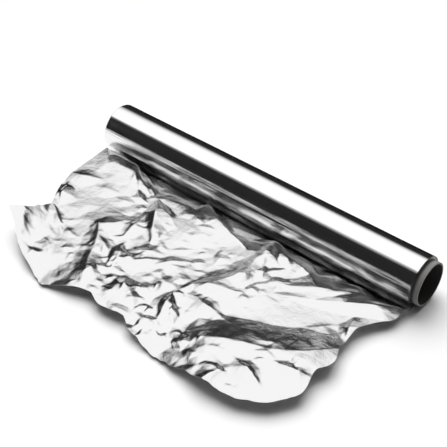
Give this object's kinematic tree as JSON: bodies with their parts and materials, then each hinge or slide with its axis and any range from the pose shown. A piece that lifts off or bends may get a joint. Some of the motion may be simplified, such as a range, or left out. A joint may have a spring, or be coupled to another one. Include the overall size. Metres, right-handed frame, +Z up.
{
  "type": "aluminium foil roll",
  "caption": "Household roll of aluminium foil wound on a card core, with a crumpled length of foil pulled out from under the roll.",
  "frame": {"origin": "on the surface that the roll lies on, in the flat under the roll's axis, half way along the foil's width", "axes": "+X along the roll towards the end where the core stands out, +Y to the back, away from the pulled-out foil, +Z up"},
  "size_m": [0.3067, 0.1877, 0.0395],
  "materials": {
    "foil": "rolled foil, mirror bright outside and satin inside",
    "card": "plain grey card, wound in a spiral"
  },
  "bodies": {
    "root": {"foil_web": "foil", "core_tube": "card"}
  },
  "joints": []
}
